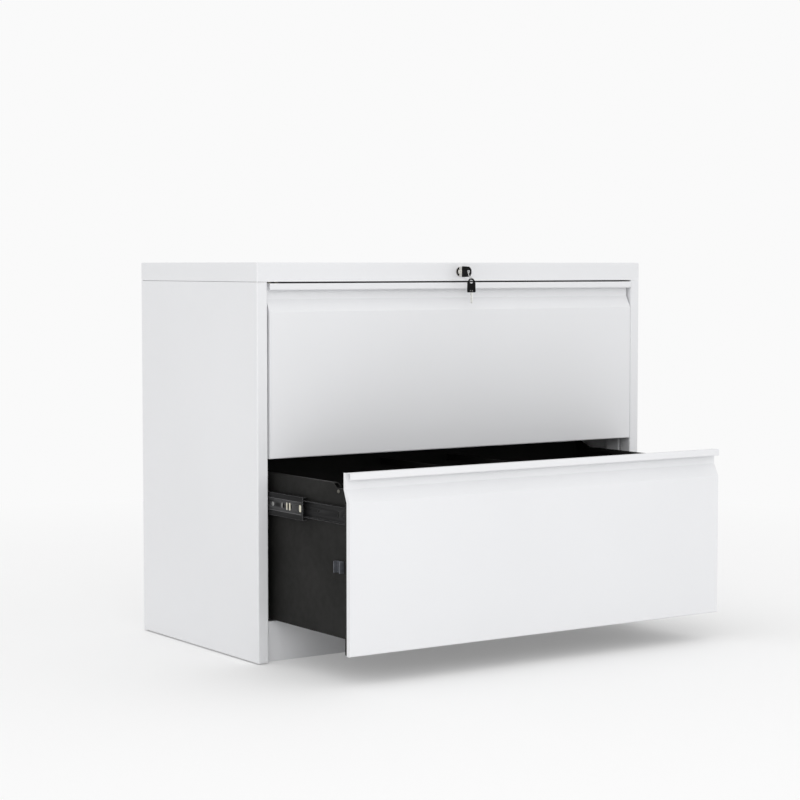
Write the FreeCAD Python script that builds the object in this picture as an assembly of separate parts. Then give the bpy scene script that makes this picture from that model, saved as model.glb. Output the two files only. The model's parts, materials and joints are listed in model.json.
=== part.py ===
"""Two-drawer lateral filing cabinet of folded sheet steel, in millimetres.

X runs to the right, Y to the back and Z up. The origin is on the floor, under the middle of the carcass.
The upper drawer is shut and the lower drawer stands partly open.
"""
import FreeCAD, Part
import math
import os

Vector = FreeCAD.Vector

# Overall size of the carcass
cabinet_width = 900.0
cabinet_depth = 450.0
cabinet_height = 730.0

# Sheet metal
sheet = 1.0
bend = 1.5
fit = 0.1
slip = 0.3
cut_over = 2.0

# Carcass
skirt_height = 35.0
skirt_hem = 8.0
cover_radius = 2.0
cover_seam = 0.6
floor_gap = 2.0
post_width = 22.0
post_return = 28.0
rear_flange = 20.0
upright_width = 40.0
upright_inset = 35.0
plinth_height = 73.0
plinth_setback = 18.0
plinth_flange = 20.0
rail_depth = 44.0

# Drawer fronts
lower_front_z = 52.0
front_gap = 4.0
front_top_gap = 3.0
front_side_gap = 3.0
front_proud = 2.0
front_return = 10.0
recess_return = 6.0
lip_height = 12.5
lip_proud = 2.0
lip_hem = 3.0
recess_depth = 12.0
recess_height = 16.5
slope_height = 23.0
liner_depth = 16.0
liner_drop = 25.0

# Drawer boxes
slide_space = 13.0
box_rise = 26.0
box_drop = 22.0
box_back_gap = 30.0
side_flange = 11.0
side_flange_lip = 7.0
bottom_flange = 15.0
dip_depth = 8.0
dip_length = 40.0
dip_slope = 14.0
back_rise = 17.0
back_return = 45.0
hang_rail_place = 80.0
hang_rail_thickness = 2.0
hang_rail_height = 14.0
rivet_radius = 3.5
rivet_top_radius = 2.3
rivet_height = 1.5
rivet_inset = 34.0
rivet_drop = 14.0

# Telescopic slides, measured across from the carcass and up from the middle of the slide
slide_drop = 54.0
slide_sheet = 1.2
slide_front_setback = 20.0
slide_stagger = 2.0
slide_rear_gap = 38.0
slide_hold = 12.0
outer_half = 26.5
outer_lip = 10.0
middle_half = 20.7
middle_web = 2.4
middle_lip = 8.1
inner_half = 15.1
inner_lip = 8.0
cage_sheet = 0.6
cage_length = 120.0
cage_leg = 5.6
cage_balls = 5
cage_end = 6.0
outer_ball_radius = 2.0
inner_ball_radius = 1.9

# Pose of the lower drawer
lower_opening = 265.0

# Lock catch on the drawer side
catch_drop = 91.0
catch_size = 20.0
catch_reach = 9.0
catch_gap = 2.2

# Lock
housing_radius = 8.0
housing_flange_radius = 9.5
housing_flange = 2.0
housing_length = 22.0
housing_clearance = 0.15
nut_radius = 12.7
nut_thickness = 3.5
plug_radius = 5.5
plug_clearance = 0.05
plug_proud = 0.2
tail_radius = 3.0
cam_thickness = 2.0
cam_gap = 0.4
cam_radius = 8.0
cam_arm = 13.0
cam_arm_half = 3.4
cam_pin_radius = 2.0
cam_pin_play = 0.9
cam_turn = 90.0

# Lock link and lock bar
link_thickness = 1.5
link_height = 15.0
link_right_end = 22.0
link_plate_drop = 6.8
link_plate_margin = 6.0
link_plate_tail = 10.0
notch_floor = 2.0
bar_travel = 10.0
bar_width = 10.0
bar_pin_radius = 2.5
bar_pin_rise = 8.7
bar_ear = 6.0
tab_height = 12.0
tab_reach = 4.0
tab_lift = 2.0

# Key and its ring
key_thickness = 2.0
key_height = 7.0
key_depth = 15.0
key_neck = 6.0
keyway_play = 0.2
bow_thickness = 2.4
bow_length = 28.0
bow_height = 21.0
bow_corner = 7.0
bow_hole_radius = 3.4
bow_hole_edge = 6.5
ring_radius = 10.0
ring_wire_radius = 0.6
ring_lean_share = 0.5

# Places that follow from the sizes
half_width = cabinet_width / 2
front_y = -cabinet_depth / 2
back_y = cabinet_depth / 2
inner_x = half_width - sheet
opening_x = half_width - post_width
skirt_z = cabinet_height - skirt_height
post_back_y = front_y + post_return
plinth_y = front_y + plinth_setback
base_back_y = back_y - 2 * sheet - fit
front_half = opening_x - front_side_gap
front_height = (skirt_z - front_top_gap - front_gap - lower_front_z) / 2
drawer_pitch = front_height + front_gap
lower_front_top_z = lower_front_z + front_height
face_y = front_y - front_proud
liner_back_y = face_y + sheet + liner_depth
box_half = opening_x - slide_space
box_z = lower_front_z + box_rise
box_top_z = lower_front_top_z - box_drop
box_back_y = back_y - box_back_gap
box_length = box_back_y - liner_back_y
slide_z = box_top_z - slide_drop
slide_length = cabinet_depth - slide_front_setback - slide_rear_gap
drawer_travel = slide_length - slide_hold
catch_z = slide_z - catch_drop
lock_z = skirt_z + skirt_height / 2
upright_front_y = front_y + upright_inset
upright_rear_y = back_y - upright_inset - upright_width

# The lock lies along Y in the middle of the skirt
housing_back_y = front_y + housing_length
cam_y = housing_back_y + cam_gap
bar_y = post_back_y + slip
link_y = bar_y + link_thickness + slip
half_turn = math.radians(cam_turn / 2)
cam_pin_x = cam_arm * math.sin(half_turn)
cam_pin_z = lock_z - cam_arm * math.cos(half_turn)
link_travel = 2 * cam_pin_x
link_z = skirt_z + slip
bar_left_x = -inner_x + skirt_hem + slip
bar_pin_x = bar_left_x + link_travel + link_plate_margin
link_left_x = bar_pin_x - link_plate_margin
link_slot_x = bar_pin_x + link_travel
link_plate_x = link_slot_x + link_plate_tail
bar_pin_z = link_z + bar_pin_rise
bar_tab_z = catch_z + catch_size / 2 + tab_lift
bow_y = front_y - housing_flange - key_neck
bow_hole_y = bow_y - bow_length + bow_hole_edge


def box(x0, x1, y0, y1, z0, z1):
    """Block between two corners."""
    return Part.makeBox(x1 - x0, y1 - y0, z1 - z0, Vector(x0, y0, z0))


def rod_y(x, z, radius, y0, y1):
    """Round bar along Y."""
    return Part.makeCylinder(radius, y1 - y0, Vector(x, y0, z), Vector(0, 1, 0))


def joined(shapes):
    """One solid from overlapping or touching shapes."""
    return shapes[0].multiFuse(shapes[1:]).removeSplitter()


def mirrored(shape):
    """The same shape on the other side of the cabinet."""
    return shape.mirror(Vector(0, 0, 0), Vector(1, 0, 0))


def in_xy(u, v):
    """Section point seen from above."""
    return Vector(u, v, 0)


def in_yz(u, v):
    """Section point seen from the side."""
    return Vector(0, u, v)


def in_xz(u, v):
    """Section point seen from the front."""
    return Vector(u, 0, v)


def prism(points, place, along):
    """Straight-sided solid on a closed outline."""
    corners = [place(u, v) for u, v in points]
    return Part.Face(Part.makePolygon(corners + corners[:1])).extrude(along)


def folded(points, place, along):
    """Folded sheet to the left of a line of corners, with rounded folds."""
    line = [Vector(u, v, 0) for u, v in points]
    ways = [(b - a).normalize() for a, b in zip(line, line[1:])]
    lefts = [Vector(-w.y, w.x, 0) for w in ways]
    near = [(line[0],)]
    far = [(line[0] + lefts[0] * sheet,)]
    for corner, way, after, left, left_after in zip(line[1:], ways, ways[1:], lefts, lefts[1:]):
        turn = math.atan2(way.cross(after).z, way.dot(after))
        side = math.copysign(1, turn)
        near_radius = bend + sheet if side > 0 else bend
        far_radius = 2 * bend + sheet - near_radius
        reach = near_radius * math.tan(abs(turn) / 2)
        start = corner - way * reach
        end = corner + after * reach
        centre = start + left * (side * near_radius)
        middle = (corner - centre).normalize()
        near.append((start, centre + middle * near_radius, end))
        far.append((start + left * sheet, centre + middle * far_radius, end + left_after * sheet))
    near.append((line[-1],))
    far.append((line[-1] + lefts[-1] * sheet,))
    path = near + [tuple(reversed(fold)) for fold in reversed(far)]
    edges = []
    for here, following in zip(path, path[1:] + path[:1]):
        spots = [place(p.x, p.y) for p in here]
        if len(spots) == 3:
            edges.append(Part.Arc(*spots).toShape())
        edges.append(Part.LineSegment(spots[-1], place(following[0].x, following[0].y)).toShape())
    return Part.Face(Part.Wire(edges)).extrude(along)


def top_cover():
    """Pan with rounded outer edges, a hem round its open bottom and the lock's hole."""
    outer = box(-half_width, half_width, front_y, back_y, skirt_z, cabinet_height)
    rounded = [e for e in outer.Edges if e.CenterOfMass.z > skirt_z + fit]
    outer = outer.makeFillet(cover_radius, rounded)
    inner_y = back_y - sheet
    inner = box(-inner_x, inner_x, -inner_y, inner_y, skirt_z - cut_over, cabinet_height - sheet)
    inner = inner.makeFillet(cover_radius - sheet, [e for e in inner.Edges if e.Length > skirt_height])
    hem_x = inner_x - skirt_hem
    hem_y = back_y - sheet - skirt_hem
    lap_x = half_width - sheet / 2
    lap_y = back_y - sheet / 2
    hem = box(-lap_x, lap_x, -lap_y, lap_y, skirt_z, skirt_z + sheet)
    hem = hem.cut(box(-hem_x, hem_x, -hem_y, hem_y, skirt_z - cut_over, skirt_z + cut_over))
    hole = rod_y(0, lock_z, housing_radius + housing_clearance, front_y - cut_over, front_y + cut_over)
    return joined([outer.cut(inner), hem]).cut(hole)


def side_panel():
    """Left side, folded round the front post and round the rear flange."""
    line = [
        (-half_width + rear_flange, back_y),
        (-half_width, back_y),
        (-half_width, front_y),
        (-opening_x, front_y),
        (-opening_x, post_back_y),
    ]
    panel = folded(line, in_xy, Vector(0, 0, skirt_z - cover_seam - floor_gap))
    return panel.translated(Vector(0, 0, floor_gap))


def back_panel():
    """Flat sheet inside the rear flanges."""
    half = inner_x - bend - fit
    return box(-half, half, back_y - 2 * sheet, back_y - sheet, floor_gap, skirt_z)


def plinth_frame():
    """Ring with flanges at top and bottom, on which the cabinet stands."""
    outer = box(-opening_x, opening_x, plinth_y, base_back_y, 0, plinth_height)
    inner = box(
        -opening_x + sheet,
        opening_x - sheet,
        plinth_y + sheet,
        base_back_y - sheet,
        sheet,
        plinth_height - sheet,
    )
    clear_x = opening_x - plinth_flange
    clear = box(
        -clear_x,
        clear_x,
        plinth_y + plinth_flange,
        base_back_y - plinth_flange,
        -cut_over,
        plinth_height + cut_over,
    )
    return outer.cut(inner).cut(clear)


def base_pan():
    """Floor of the carcass, on the plinth frame."""
    half = opening_x - slip
    return box(-half, half, plinth_y, base_back_y, plinth_height, plinth_height + sheet)


def upright(y0):
    """Left channel that carries the slides, between the side panel and the drawer space."""
    y1 = y0 + upright_width
    line = [(-inner_x, y1), (-opening_x, y1), (-opening_x, y0), (-inner_x, y0)]
    channel = folded(list(reversed(line)), in_xy, Vector(0, 0, skirt_z - floor_gap))
    return channel.translated(Vector(0, 0, floor_gap))


def lock_rail():
    """Angle under the top cover that carries the lock link."""
    back = front_y + rail_depth
    plate = box(link_plate_x + slip, opening_x, front_y + sheet + fit, back, skirt_z - sheet, skirt_z)
    wall = box(-opening_x, opening_x, back - sheet, back, skirt_z - sheet, cabinet_height - sheet)
    return joined([plate, wall])


def slide_member(web_near, web_far, lip_near, lip_far, half, start_y):
    """Left slide member: a web and two lips, placed by their distance from the carcass."""
    x = -opening_x
    end_y = start_y + slide_length
    web = box(x + web_near, x + web_far, start_y, end_y, slide_z - half, slide_z + half)
    lips = [
        box(x + lip_near, x + lip_far, start_y, end_y, z, z + slide_sheet)
        for z in (slide_z - half, slide_z + half - slide_sheet)
    ]
    return joined([web] + lips)


def slide_outer():
    """Member fixed to the uprights."""
    return slide_member(0, slide_sheet, 0, outer_lip, outer_half, front_y + slide_front_setback)


def slide_middle():
    """Member between the outer and the inner one."""
    start = front_y + slide_front_setback - slide_stagger
    web_far = middle_web + slide_sheet
    return slide_member(middle_web, web_far, middle_web, middle_web + middle_lip, middle_half, start)


def slide_inner():
    """Member fixed to the drawer side."""
    start = front_y + slide_front_setback - 2 * slide_stagger
    return slide_member(
        slide_space - slide_sheet, slide_space, slide_space - inner_lip, slide_space, inner_half, start
    )


def ball_cage(web_near, row_rise, ball_radius, middle_y):
    """Strip with two legs that hold the balls, in the left slide."""
    x = -opening_x + web_near
    y0 = middle_y - cage_length / 2
    y1 = middle_y + cage_length / 2
    top = row_rise + cage_sheet / 2
    pieces = [box(x, x + cage_sheet, y0, y1, slide_z - top, slide_z + top)]
    step = (cage_length - 2 * cage_end) / (cage_balls - 1)
    for row in (slide_z - row_rise, slide_z + row_rise):
        pieces.append(box(x, x + cage_leg, y0, y1, row - cage_sheet / 2, row + cage_sheet / 2))
        for count in range(cage_balls):
            spot = Vector(x + cage_leg - ball_radius / 2, y0 + cage_end + count * step, row)
            pieces.append(Part.makeSphere(ball_radius, spot))
    return joined(pieces)


def cage_pair(web_near, row_rise, ball_radius):
    """Cages of the left and right slides, in the middle of the overlap when the drawer is right out."""
    overlap_middle_y = front_y + slide_front_setback + (slide_length - drawer_travel / 2) / 2
    middle_y = overlap_middle_y + drawer_travel / 4
    left = ball_cage(web_near, row_rise, ball_radius, middle_y)
    return Part.makeCompound([left, mirrored(left)])


def outer_cages():
    """Balls between the outer and middle members."""
    row = (outer_half - slide_sheet + middle_half) / 2
    return cage_pair(slide_sheet + slip, row, outer_ball_radius)


def inner_cages():
    """Balls between the middle and inner members."""
    row = (middle_half - slide_sheet + inner_half) / 2
    return cage_pair(middle_web + slide_sheet + slip, row, inner_ball_radius)


def drawer_front():
    """Skin of a front: main face, slope, finger recess and lip, with end returns that follow it."""
    rear_y = face_y + sheet
    recess_y = rear_y + recess_depth
    top = lower_front_top_z
    crease_z = top - lip_height - recess_height
    slope_z = crease_z - slope_height
    line = [
        (face_y + front_return, lower_front_z + sheet),
        (rear_y, lower_front_z + sheet),
        (rear_y, slope_z),
        (recess_y, crease_z),
        (recess_y, top),
        (face_y - lip_proud, top),
        (face_y - lip_proud, top - lip_height),
        (face_y - lip_proud + lip_hem, top - lip_height),
    ]
    width = Vector(2 * front_half, 0, 0)
    skin = folded(line, in_yz, width).translated(Vector(-front_half, 0, 0))
    lap = sheet / 2
    outline = [
        (rear_y - lap, lower_front_z + lap),
        (rear_y - lap, slope_z),
        (recess_y - lap, crease_z),
        (recess_y - lap, top - lap),
        (recess_y + recess_return, top - lap),
        (recess_y + recess_return, crease_z),
        (face_y + front_return, slope_z),
        (face_y + front_return, lower_front_z + lap),
    ]
    end = prism(outline, in_yz, Vector(sheet, 0, 0))
    ends = [end.translated(Vector(x, 0, 0)) for x in (-front_half, front_half - sheet)]
    return joined([skin] + ends)


def front_liner():
    """Inner pan that closes the front from behind and carries the drawer box."""
    half = front_half - sheet - slip
    bottom = lower_front_z + sheet + slip
    top = lower_front_top_z - liner_drop
    flange_top = lower_front_top_z - lip_height - recess_height - slope_height - bend
    front = face_y + sheet
    back = liner_back_y
    pieces = [
        box(-half, half, back - sheet, back, bottom, top),
        box(-half, half, front + bend, back, bottom, bottom + sheet),
        box(-half, half, front + recess_depth, back, top - sheet, top),
    ]
    for x in (-half, half - sheet):
        pieces.append(box(x, x + sheet, front, back, bottom + bend, flange_top))
    return joined(pieces)


def drawer_side():
    """Left side with a hooked top flange, which stops short of the dip in front and of the back."""
    line = [
        (-box_half + side_flange, box_top_z - side_flange_lip),
        (-box_half + side_flange, box_top_z),
        (-box_half, box_top_z),
        (-box_half, box_z),
        (-box_half + bottom_flange, box_z),
    ]
    side = folded(line, in_xz, Vector(0, box_length, 0)).translated(Vector(0, liner_back_y, 0))
    dip_z = box_top_z - dip_depth
    dip_end_y = liner_back_y + dip_length
    dip = [
        (liner_back_y - cut_over, dip_z),
        (dip_end_y, dip_z),
        (dip_end_y + dip_slope, box_top_z + cut_over),
        (liner_back_y - cut_over, box_top_z + cut_over),
    ]
    across = Vector(side_flange + 2 * cut_over, 0, 0)
    side = side.cut(prism(dip, in_yz, across).translated(Vector(-box_half - cut_over, 0, 0)))
    rear_clear = box(
        -box_half + sheet,
        -box_half + side_flange + cut_over,
        box_back_y - back_return - slip,
        box_back_y + cut_over,
        box_top_z - side_flange_lip - cut_over,
        box_top_z + cut_over,
    )
    return side.cut(rear_clear)


def drawer_back():
    """Back wall, taller than the sides, with side returns that slope down to them."""
    half = box_half - sheet - fit
    bottom = box_z + sheet + bend + fit
    top = box_top_z + back_rise
    wall = box(-half, half, box_back_y - sheet, box_back_y, bottom, top)
    outline = [
        (box_back_y, bottom),
        (box_back_y, top),
        (box_back_y - sheet, top),
        (box_back_y - back_return, box_top_z),
        (box_back_y - back_return, bottom),
    ]
    wing = prism(outline, in_yz, Vector(sheet, 0, 0))
    wings = [wing.translated(Vector(x, 0, 0)) for x in (-half, half - sheet)]
    return joined([wall] + wings)


def drawer_bottom():
    """Floor of the drawer, on the bottom flanges of the sides."""
    half = box_half - sheet - bend - fit
    z = box_z + sheet
    return box(-half, half, liner_back_y, box_back_y - sheet - fit, z, z + sheet)


def hang_rails():
    """Two bars from the liner to the back, for the inner hooks of hanging files."""
    z0 = box_top_z - hang_rail_height
    half = hang_rail_thickness / 2
    rails = [
        box(x - half, x + half, liner_back_y, box_back_y - sheet, z0, box_top_z)
        for x in (-hang_rail_place, hang_rail_place)
    ]
    return Part.makeCompound(rails)


def drawer_rivets():
    """Rivet heads along the top of both drawer sides, near the liner and near the back."""
    heads = []
    for y in (liner_back_y + rivet_inset, box_back_y - rivet_inset):
        spot = Vector(-box_half, y, box_top_z - rivet_drop)
        head = Part.makeCone(rivet_radius, rivet_top_radius, rivet_height, spot, Vector(-1, 0, 0))
        heads += [head, mirrored(head)]
    return Part.makeCompound(heads)


def lock_catch():
    """Bent catch on the left drawer side, which the lock bar's tab holds back."""
    half = catch_size / 2
    y0 = post_back_y + slip + link_thickness + catch_gap
    y1 = y0 + catch_size
    x = -box_half
    pieces = [box(x - sheet, x, y0, y1, catch_z - half, catch_z + half)]
    for y in (y0, y1 - sheet):
        pieces.append(box(x - catch_reach, x, y, y + sheet, catch_z - half, catch_z + half))
    return joined(pieces)


def lock_housing():
    """Barrel with a flange on the skirt and a bore for the plug."""
    barrel = rod_y(0, lock_z, housing_radius, front_y, housing_back_y)
    flange = rod_y(0, lock_z, housing_flange_radius, front_y - housing_flange, front_y)
    bore_radius = plug_radius + plug_clearance
    bore = rod_y(0, lock_z, bore_radius, front_y - housing_flange - cut_over, housing_back_y + cut_over)
    return joined([barrel, flange]).cut(bore)


def lock_nut():
    """Hexagon nut behind the skirt."""
    y0 = front_y + sheet
    corners = [
        (nut_radius * math.cos(math.radians(60 * n)), lock_z + nut_radius * math.sin(math.radians(60 * n)))
        for n in range(6)
    ]
    nut = prism(corners, in_xz, Vector(0, nut_thickness, 0)).translated(Vector(0, y0, 0))
    return nut.cut(rod_y(0, lock_z, housing_radius, y0 - cut_over, y0 + nut_thickness + cut_over))


def lock_plug():
    """Plug with the keyway in its face and a tail for the cam."""
    face = front_y - housing_flange - plug_proud
    body = rod_y(0, lock_z, plug_radius, face, housing_back_y)
    tail = rod_y(0, lock_z, tail_radius, housing_back_y, cam_y + cam_thickness)
    half_wide = key_thickness / 2 + keyway_play
    half_tall = key_height / 2 + keyway_play
    keyway_end = front_y - housing_flange + key_depth + keyway_play
    keyway = box(-half_wide, half_wide, face - cut_over, keyway_end, lock_z - half_tall, lock_z + half_tall)
    return joined([body, tail]).cut(keyway)


def lock_cam():
    """Cam with a pin that moves the link, drawn in the open position."""
    disc = rod_y(0, lock_z, cam_radius, cam_y, cam_y + cam_thickness)
    tip = rod_y(cam_pin_x, cam_pin_z, cam_arm_half, cam_y, cam_y + cam_thickness)
    arm = box(-cam_arm_half, cam_arm_half, cam_y, cam_y + cam_thickness, lock_z - cam_arm, lock_z)
    arm.rotate(Vector(0, 0, lock_z), Vector(0, 1, 0), -cam_turn / 2)
    pin = rod_y(cam_pin_x, cam_pin_z, cam_pin_radius, cam_y, link_y + link_thickness + slip)
    hole = rod_y(0, lock_z, tail_radius, cam_y - cut_over, cam_y + cam_thickness + cut_over)
    return joined([disc, tip, arm, pin]).cut(hole)


def lock_link():
    """Flat bar that slides to the left, notched for the cam's pin and slotted for the bar's pin."""
    y0 = link_y
    y1 = link_y + link_thickness
    top = link_z + link_height
    strip = box(link_left_x, link_right_end, y0, y1, link_z, top)
    plate = box(link_left_x, link_plate_x, y0, y1, link_z - link_plate_drop, top)
    notch_half = cam_pin_radius + cam_pin_play
    notch = box(
        cam_pin_x - notch_half,
        cam_pin_x + notch_half,
        y0 - cut_over,
        y1 + cut_over,
        link_z + notch_floor,
        top + cut_over,
    )
    reach = bar_pin_radius + slip
    slot_ends = [(bar_pin_x, bar_pin_z), (link_slot_x, bar_pin_z - bar_travel)]
    rounds = [rod_y(x, z, reach, y0 - cut_over, y1 + cut_over) for x, z in slot_ends]
    lean = math.atan2(bar_travel, link_travel)
    off_x = reach * math.sin(lean)
    off_z = reach * math.cos(lean)
    upper = [(x + off_x, z + off_z) for x, z in slot_ends]
    lower = [(x - off_x, z - off_z) for x, z in reversed(slot_ends)]
    slot = prism(upper + lower, in_xz, Vector(0, link_thickness + 2 * cut_over, 0))
    slot = slot.translated(Vector(0, y0 - cut_over, 0))
    return joined([strip, plate]).cut(notch).cut(joined(rounds + [slot]))


def lock_bar():
    """Flat bar in the left post with a tab above each drawer's catch and a pin in the link's slot."""
    y0 = bar_y
    y1 = bar_y + link_thickness
    right = bar_left_x + bar_width
    top = bar_pin_z + bar_ear
    tab_x = -box_half - tab_reach
    pieces = [
        box(bar_left_x, right, y0, y1, bar_tab_z, top),
        box(bar_left_x, bar_pin_x + bar_ear, y0, y1, bar_pin_z - bar_ear, top),
        rod_y(bar_pin_x, bar_pin_z, bar_pin_radius, y0, link_y + link_thickness + slip),
    ]
    for level in (0, drawer_pitch):
        pieces.append(box(bar_left_x, tab_x, y0, y1, bar_tab_z + level, bar_tab_z + level + tab_height))
    return joined(pieces)


def key_blade():
    """Blade of the key in the lock, from the bow into the keyway."""
    half_wide = key_thickness / 2
    half_tall = key_height / 2
    tip_y = front_y - housing_flange + key_depth
    return box(-half_wide, half_wide, bow_y, tip_y, lock_z - half_tall, lock_z + half_tall)


def key_bow():
    """Flat bow of the key in the lock, with its hole on the lock's axis."""
    half = bow_thickness / 2
    plate = box(-half, half, bow_y - bow_length, bow_y, lock_z - bow_height / 2, lock_z + bow_height / 2)
    plate = plate.makeFillet(bow_corner, [e for e in plate.Edges if abs(e.Length - bow_thickness) < fit])
    start = Vector(-half - cut_over, bow_hole_y, lock_z)
    hole = Part.makeCylinder(bow_hole_radius, bow_thickness + 2 * cut_over, start, Vector(1, 0, 0))
    return plate.cut(hole)


def key_ring():
    """Wire ring that hangs forward from the bow's hole, clear of the bow all through the key's turn."""
    wire_way = Vector(1, ring_lean_share, -1)
    centre_way = Vector(ring_lean_share - 1, -1, -1).normalize()
    centre = Vector(0, bow_hole_y, lock_z) + centre_way * ring_radius
    return Part.makeTorus(ring_radius, ring_wire_radius, centre, wire_way.cross(centre_way))


def save(name, shape):
    """Write one piece to its own file."""
    shape.exportStep(f"parts/{name}.step")


def save_pair(start, end, shape):
    """Write the left piece and its mirror image."""
    save(f"{start}_left{end}", shape)
    save(f"{start}_right{end}", mirrored(shape))


def save_carcass():
    """Pieces that stand still."""
    save("top_cover", top_cover())
    panel = side_panel()
    save("left_side_panel", panel)
    save("right_side_panel", mirrored(panel))
    save("back_panel", back_panel())
    save("plinth_frame", plinth_frame())
    save("base_pan", base_pan())
    save("lock_rail", lock_rail())
    save_pair("front_upright", "", upright(upright_front_y))
    save_pair("rear_upright", "", upright(upright_rear_y))


def save_drawer(name, level, opening):
    """One drawer with its slides: each slide piece goes out by its share of the opening."""
    def moved(shape, travel_share):
        return shape.translated(Vector(0, -opening * travel_share, level))

    side = drawer_side()
    save(f"{name}_front", moved(drawer_front(), 1))
    save(f"{name}_front_liner", moved(front_liner(), 1))
    save(f"{name}_left_side", moved(side, 1))
    save(f"{name}_right_side", moved(mirrored(side), 1))
    save(f"{name}_back", moved(drawer_back(), 1))
    save(f"{name}_bottom", moved(drawer_bottom(), 1))
    save(f"{name}_hang_rails", moved(hang_rails(), 1))
    save(f"{name}_rivets", moved(drawer_rivets(), 1))
    save(f"{name}_lock_catch", moved(lock_catch(), 1))
    save_pair(f"{name}_slide_inner", "", moved(slide_inner(), 1))
    save_pair(f"{name}_slide_middle", "", moved(slide_middle(), 1 / 2))
    save_pair(f"{name}_slide_outer", "", moved(slide_outer(), 0))
    save(f"{name}_outer_cages", moved(outer_cages(), 1 / 4))
    save(f"{name}_inner_cages", moved(inner_cages(), 3 / 4))


def save_lock():
    """Lock, key and the bars that lock the drawers."""
    save("lock_housing", lock_housing())
    save("lock_nut", lock_nut())
    save("lock_plug", lock_plug())
    save("lock_cam", lock_cam())
    save("lock_link", lock_link())
    save("lock_bar", lock_bar())
    save("key_blade", key_blade())
    save("key_bow", key_bow())
    save("key_ring", key_ring())


os.makedirs("parts", exist_ok=True)
save_carcass()
save_drawer("lower", 0, lower_opening)
save_drawer("upper", drawer_pitch, 0)
save_lock()
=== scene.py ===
"""Looks of a two-drawer lateral filing cabinet: its coats, platings, moulded keys and a pale studio."""
import json
import math

import bmesh
import bpy
from bpy.props import FloatProperty, FloatVectorProperty, PointerProperty
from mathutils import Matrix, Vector


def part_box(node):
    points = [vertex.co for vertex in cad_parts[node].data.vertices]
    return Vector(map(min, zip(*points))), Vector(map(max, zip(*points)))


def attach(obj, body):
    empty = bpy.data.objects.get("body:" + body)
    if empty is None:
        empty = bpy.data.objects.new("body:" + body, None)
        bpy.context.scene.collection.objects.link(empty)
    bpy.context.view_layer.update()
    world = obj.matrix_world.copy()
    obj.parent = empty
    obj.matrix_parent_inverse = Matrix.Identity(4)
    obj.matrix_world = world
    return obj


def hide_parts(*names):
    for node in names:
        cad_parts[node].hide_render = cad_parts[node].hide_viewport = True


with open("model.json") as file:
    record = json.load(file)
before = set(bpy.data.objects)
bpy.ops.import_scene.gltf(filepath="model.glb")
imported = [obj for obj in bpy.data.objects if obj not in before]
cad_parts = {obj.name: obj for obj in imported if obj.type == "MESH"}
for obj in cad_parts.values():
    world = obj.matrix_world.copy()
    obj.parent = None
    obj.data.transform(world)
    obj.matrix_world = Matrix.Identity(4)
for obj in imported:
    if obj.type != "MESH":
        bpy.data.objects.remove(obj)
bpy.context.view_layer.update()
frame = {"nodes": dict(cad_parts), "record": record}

bl_info = {
    "name": "Filing cabinet looks",
    "version": (1, 0, 0),
    "blender": (4, 5, 0),
    "location": "View3D > Sidebar > Cabinet",
    "description": "Paints a lateral filing cabinet, models its keys and sets up a pale studio",
    "category": "Object",
}

bow_low, bow_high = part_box("key_bow")
bow_middle = (bow_low + bow_high) / 2


class CabinetCoats(bpy.types.PropertyGroup):
    """Colours and gloss of the coats and platings"""
    white: FloatVectorProperty(
        name="White coat", description="Powder coat of the carcass and the drawer fronts",
        subtype="COLOR", size=3, min=0, max=1, default=(0.80, 0.805, 0.82))
    white_rough: FloatProperty(
        name="White roughness", description="Roughness of the white powder coat",
        subtype="FACTOR", min=0, max=1, default=0.46)
    black: FloatVectorProperty(
        name="Black coat", description="Powder coat of the drawer boxes",
        subtype="COLOR", size=3, min=0, max=1, default=(0.0165, 0.0163, 0.0155))
    black_rough: FloatProperty(
        name="Black roughness", description="Roughness of the black powder coat",
        subtype="FACTOR", min=0, max=1, default=0.47)
    catch: FloatVectorProperty(
        name="Catch steel", description="Blued steel of the lock catches",
        subtype="COLOR", size=3, min=0, max=1, default=(0.075, 0.080, 0.090))
    slide: FloatVectorProperty(
        name="Slide coat", description="Thin black coating of the telescopic slides",
        subtype="COLOR", size=3, min=0, max=1, default=(0.0115, 0.0115, 0.0118))
    steel: FloatVectorProperty(
        name="Bare steel", description="Drawn steel of the key blades, the ring and the ball cages",
        subtype="COLOR", size=3, min=0, max=1, default=(0.60, 0.60, 0.58))
    zinc: FloatVectorProperty(
        name="Zinc plate", description="Plating of the rivets, the nut, the cam and the lock bars",
        subtype="COLOR", size=3, min=0, max=1, default=(0.68, 0.66, 0.58))
    chrome: FloatVectorProperty(
        name="Chrome", description="Plating of the lock's face",
        subtype="COLOR", size=3, min=0, max=1, default=(0.55, 0.54, 0.52))
    plastic: FloatVectorProperty(
        name="Key plastic", description="Moulded plastic of the key bows",
        subtype="COLOR", size=3, min=0, max=1, default=(0.006, 0.006, 0.0065))


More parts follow.
